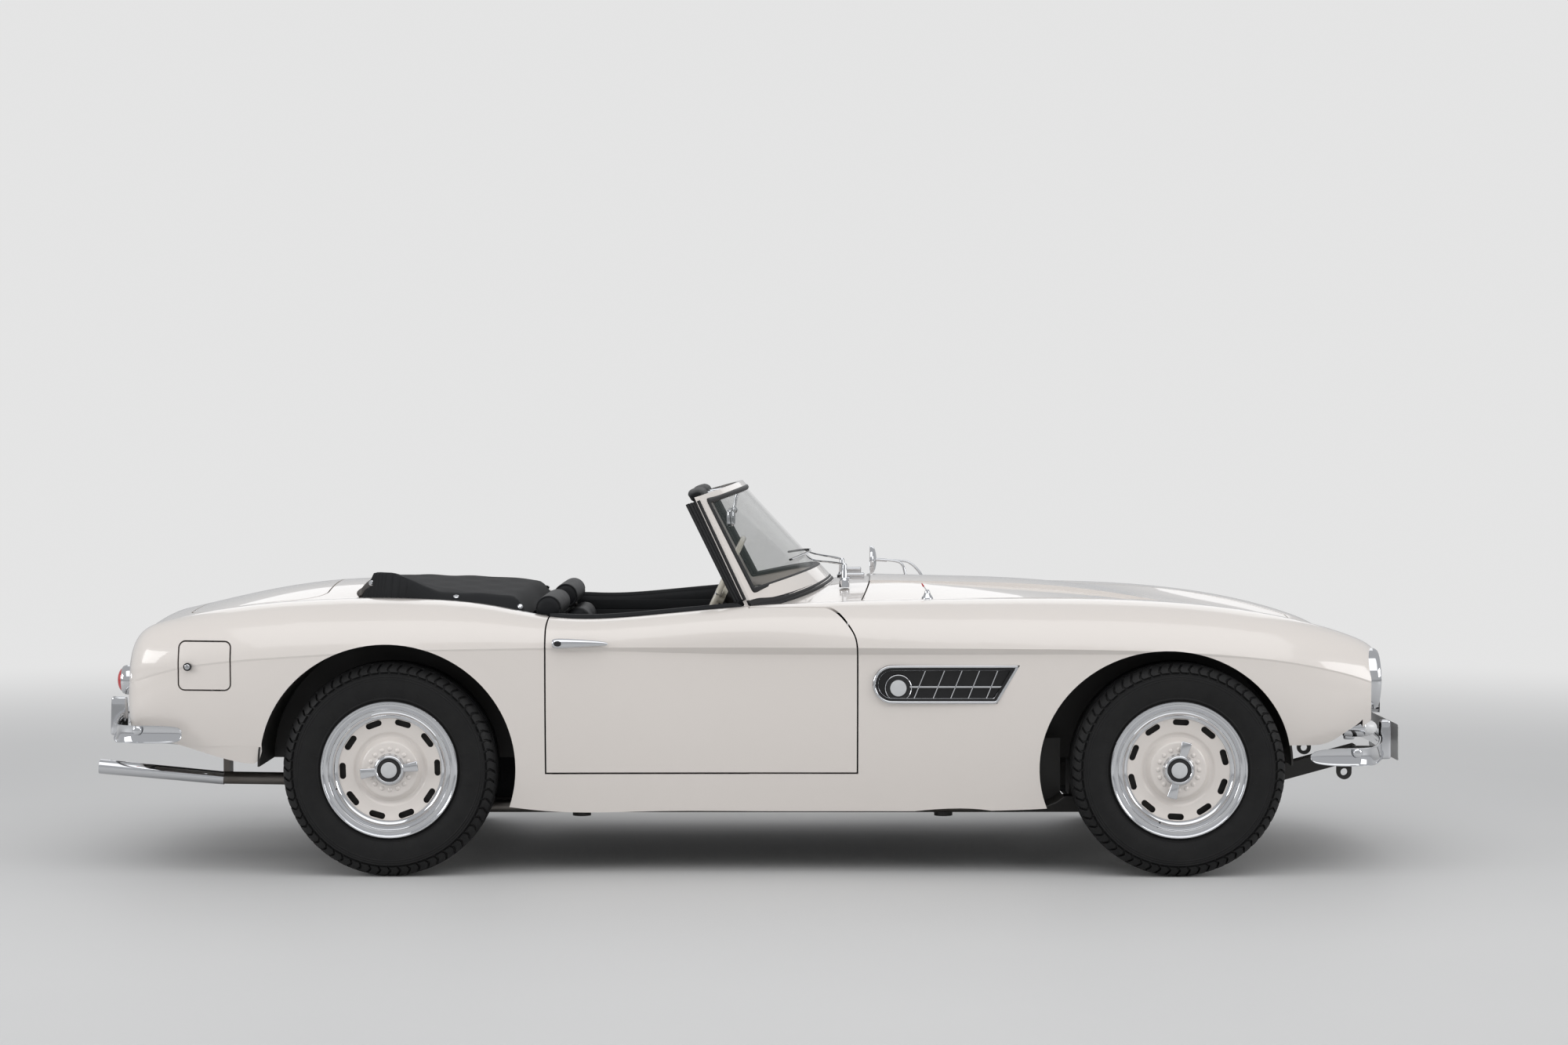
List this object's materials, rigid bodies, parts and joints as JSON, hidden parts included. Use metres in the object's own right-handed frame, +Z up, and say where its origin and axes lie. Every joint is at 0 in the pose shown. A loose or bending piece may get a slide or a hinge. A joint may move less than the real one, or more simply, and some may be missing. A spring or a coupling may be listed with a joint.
{
  "type": "roadster convertible",
  "caption": "Open two-seat roadster with long bonnet, opening doors, bonnet and boot lid, steered slotted wheels, wrap-round windscreen and covered folded top.",
  "frame": {"origin": "on the ground at the middle of the car's box", "axes": "+X forward along the length, +Y to the car's left, +Z up"},
  "size_m": [4.268, 1.652, 1.2359],
  "materials": {
    "cream_paint": "gloss cream enamel",
    "black_paint": "satin black chassis enamel",
    "engine_iron": "cast",
    "bright_chrome": "polished",
    "red_lens": "moulded red lens",
    "exhaust_steel": "heat stained",
    "screen_glass": "clear",
    "black_leather": "grained hide",
    "cover_cloth": "woven cover cloth",
    "plate_white": "blank",
    "tyre_rubber": "black"
  },
  "bodies": {
    "body": {"front_body": "cream_paint", "rear_body": "cream_paint", "sills": "cream_paint", "floor_pan": "black_paint", "chassis_frame": "black_paint", "wheelhouses": "black_paint", "engine_block": "engine_iron", "exhausts": "exhaust_steel", "front_axle": "black_paint", "rear_axle": "black_paint", "windshield_frame": "cream_paint", "windshield_glass": "screen_glass", "sun_visors": "black_leather", "mirror_inner": "bright_chrome", "dashboard": "cream_paint", "steering_column": "black_paint", "seats": "black_leather", "cockpit_cover": "cover_cloth", "bumpers": "bright_chrome", "number_plates": "plate_white", "headlights": "bright_chrome", "turn_signals": "bright_chrome", "tail_lights": "red_lens", "nose_grilles": "bright_chrome", "side_vents": "bright_chrome", "mirror_outer": "bright_chrome", "antenna": "bright_chrome", "wipers": "bright_chrome"},
    "wheel_rr": {"wheel_rear_right": "cream_paint", "tyre_rear_right": "tyre_rubber"},
    "wheel_rl": {"wheel_rear_left": "cream_paint", "tyre_rear_left": "tyre_rubber"},
    "knuckle_r": {"knuckle_right": "black_paint"},
    "knuckle_l": {"knuckle_left": "black_paint"},
    "wheel_fr": {"wheel_front_right": "cream_paint", "tyre_front_right": "tyre_rubber"},
    "wheel_fl": {"wheel_front_left": "cream_paint", "tyre_front_left": "tyre_rubber"},
    "helm": {"steering_wheel": "cream_paint"},
    "door_r": {"door_right": "cream_paint", "handle_right": "bright_chrome"},
    "door_l": {"door_left": "cream_paint", "handle_left": "bright_chrome"},
    "bonnet": {"bonnet": "cream_paint"},
    "boot_lid": {"boot_lid": "cream_paint"},
    "fuel_flap": {"fuel_flap": "cream_paint"}
  },
  "joints": [
    {"name": "spin_rear_right", "type": "hinge", "parent": "body", "child": "wheel_rr", "pos_m": [-1.14, -0.7125, 0.338], "axis": [0, 1, 0], "continuous": true},
    {"name": "spin_rear_left", "type": "hinge", "parent": "body", "child": "wheel_rl", "pos_m": [-1.14, 0.7125, 0.338], "axis": [0, 1, 0], "continuous": true},
    {"name": "steer_right", "type": "hinge", "parent": "body", "child": "knuckle_r", "pos_m": [1.34, -0.6905, 0.338], "axis": [0, 0, 1], "range_deg": [-30, 30]},
    {"name": "steer_left", "type": "hinge", "parent": "body", "child": "knuckle_l", "pos_m": [1.34, 0.6905, 0.338], "axis": [0, 0, 1], "range_deg": [-30, 30]},
    {"name": "spin_front_right", "type": "hinge", "parent": "knuckle_r", "child": "wheel_fr", "pos_m": [1.34, -0.7225, 0.338], "axis": [0, 1, 0], "continuous": true},
    {"name": "spin_front_left", "type": "hinge", "parent": "knuckle_l", "child": "wheel_fl", "pos_m": [1.34, 0.7225, 0.338], "axis": [0, 1, 0], "continuous": true},
    {"name": "steering_wheel_turn", "type": "hinge", "parent": "body", "child": "helm", "pos_m": [-0.129, 0.38, 0.84], "axis": [-0.9063, 0, 0.4226], "range_deg": [-480, 480]},
    {"name": "door_right_open", "type": "hinge", "parent": "body", "child": "door_r", "pos_m": [0.29, -0.795, 0.5], "axis": [0, 0, 1], "range_deg": [0, 65]},
    {"name": "door_left_open", "type": "hinge", "parent": "body", "child": "door_l", "pos_m": [0.29, 0.795, 0.5], "axis": [0, 0, -1], "range_deg": [0, 65]},
    {"name": "bonnet_open", "type": "hinge", "parent": "body", "child": "bonnet", "pos_m": [0.355, 0, 0.912], "axis": [0, -1, 0], "range_deg": [0, 50]},
    {"name": "boot_lid_open", "type": "hinge", "parent": "body", "child": "boot_lid", "pos_m": [-1.388, 0, 0.903], "axis": [0, 1, 0], "range_deg": [0, 60]},
    {"name": "fuel_flap_open", "type": "hinge", "parent": "body", "child": "fuel_flap", "pos_m": [-1.6375, -0.812, 0.6655], "axis": [0, 0, 1], "range_deg": [0, 100]}
  ],
  "couplings": [
    {"joint": "steer_left", "follows": "steer_right", "ratio": 1},
    {"joint": "steering_wheel_turn", "follows": "steer_right", "ratio": 16}
  ]
}
